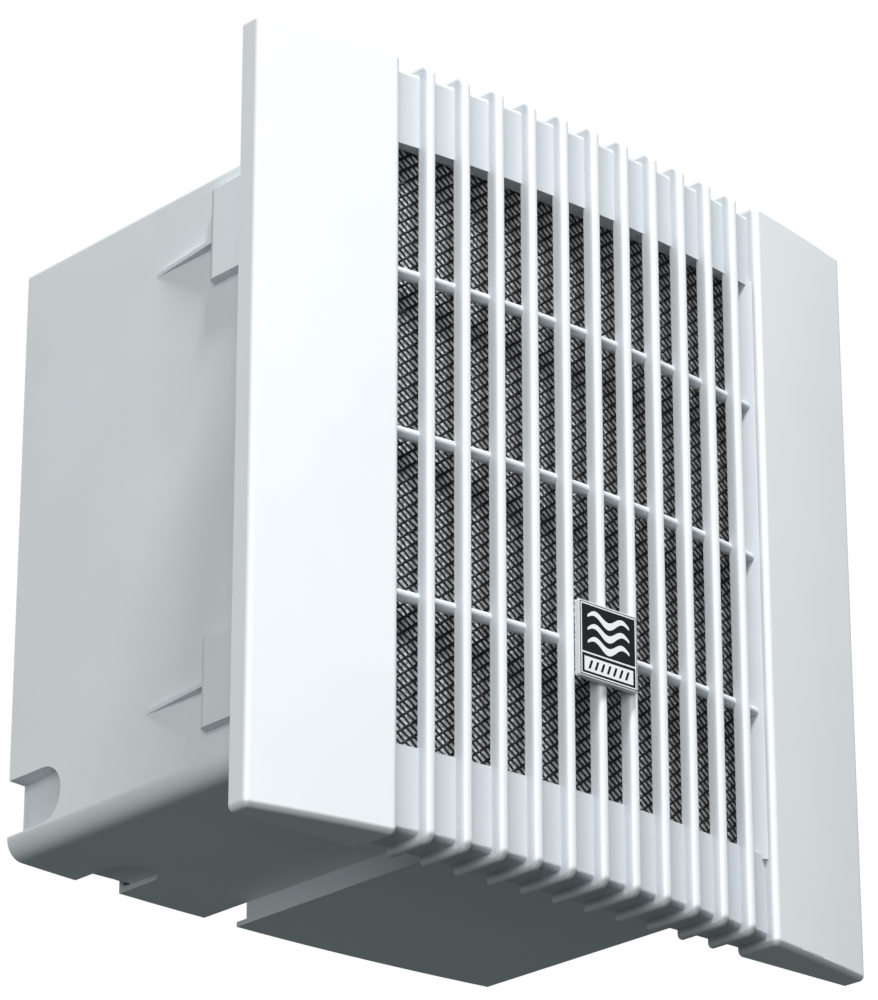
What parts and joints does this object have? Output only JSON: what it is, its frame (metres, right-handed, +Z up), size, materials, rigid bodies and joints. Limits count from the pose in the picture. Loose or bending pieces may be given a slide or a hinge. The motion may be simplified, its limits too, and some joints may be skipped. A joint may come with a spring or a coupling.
{
  "type": "bathroom extractor fan",
  "caption": "Recessed square extractor fan with a bowed louvred cover, filter, wall box, centrifugal wheel, motor and a round duct spigot with backdraught flaps.",
  "frame": {"origin": "middle of the square cover, on the face of the wall that the fan is set into", "axes": "+X to the right, +Y into the wall, +Z up; the cover stands in front of the wall at negative Y"},
  "size_m": [0.28, 0.1923, 0.29],
  "materials": {
    "white_shell": "glossy white moulded ABS",
    "grey_shell": "satin light grey moulded plastic",
    "white_moulding": "satin off-white moulded polypropylene",
    "badge_black": "gloss black badge with a plain white emblem",
    "filter_net": "black moulded plastic mesh",
    "filter_pad": "pale grey non-woven filter wadding",
    "filter_frame": "matt grey plastic",
    "steel": "zinc-plated steel",
    "spring_steel": "bright spring steel",
    "galvanised": "galvanised sheet",
    "motor_alloy": "die-cast aluminium",
    "lamination": "stacked silicon-steel laminations",
    "copper": "enamelled copper winding",
    "bronze": "sintered bronze",
    "wheel": "matt dark grey moulded plastic",
    "capacitor_case": "cream plastic can with tinned tabs",
    "terminal": "off-white plastic",
    "rubber": "black rubber"
  },
  "bodies": {
    "housing": {"housing": "grey_shell", "cable_entry_liner": "grey_shell", "wiring_cover": "grey_shell", "wiring_cover_screws": "steel", "scroll_body": "white_moulding", "scroll_cover": "white_moulding", "scroll_cover_screws": "steel", "motor_plate": "galvanised", "motor_plate_screws": "steel", "scroll_fixing_screws": "steel", "motor_front_shield": "motor_alloy", "motor_rear_shield": "motor_alloy", "front_bearing": "bronze", "rear_bearing": "bronze", "stator_core": "lamination", "stator_windings": "copper", "motor_bushes": "rubber", "motor_mount_screws": "steel", "capacitor": "capacitor_case", "capacitor_strap": "white_moulding", "terminal_block": "terminal", "terminal_screws": "steel", "terminal_cover": "white_moulding", "outlet_spigot": "white_moulding", "spigot_screws": "steel", "flap_pin": "steel"},
    "grille": {"grille": "white_shell", "badge": "badge_black", "grille_clips": "spring_steel"},
    "filter": {"filter_frame": "filter_frame", "filter_net": "filter_net", "filter_pad": "filter_pad"},
    "rotor": {"impeller_plate": "wheel", "impeller_ring": "wheel", "impeller_blades": "wheel", "shaft": "steel", "rotor_core": "lamination", "impeller_nut": "steel"},
    "left_flap": {"left_flap": "white_moulding"},
    "right_flap": {"right_flap": "white_moulding"}
  },
  "joints": [
    {"name": "grille_pull", "type": "slide", "parent": "housing", "child": "grille", "axis": [0, -1, 0], "range_m": [0, 0.15]},
    {"name": "filter_drop", "type": "slide", "parent": "grille", "child": "filter", "axis": [0, 1, 0], "range_m": [0, 0.04]},
    {"name": "impeller_spin", "type": "hinge", "parent": "housing", "child": "rotor", "pos_m": [-0.008, 0.1, -0.012], "axis": [0, 1, 0], "continuous": true},
    {"name": "left_flap_swing", "type": "hinge", "parent": "housing", "child": "left_flap", "pos_m": [0.05, 0.077, 0.1395], "axis": [0, 1, 0], "range_deg": [0, 75]},
    {"name": "right_flap_swing", "type": "hinge", "parent": "housing", "child": "right_flap", "pos_m": [0.05, 0.077, 0.1395], "axis": [0, -1, 0], "range_deg": [0, 75]}
  ],
  "couplings": [
    {"joint": "filter_drop", "follows": "grille_pull", "ratio": 0.26666},
    {"joint": "right_flap_swing", "follows": "left_flap_swing", "ratio": 1}
  ]
}
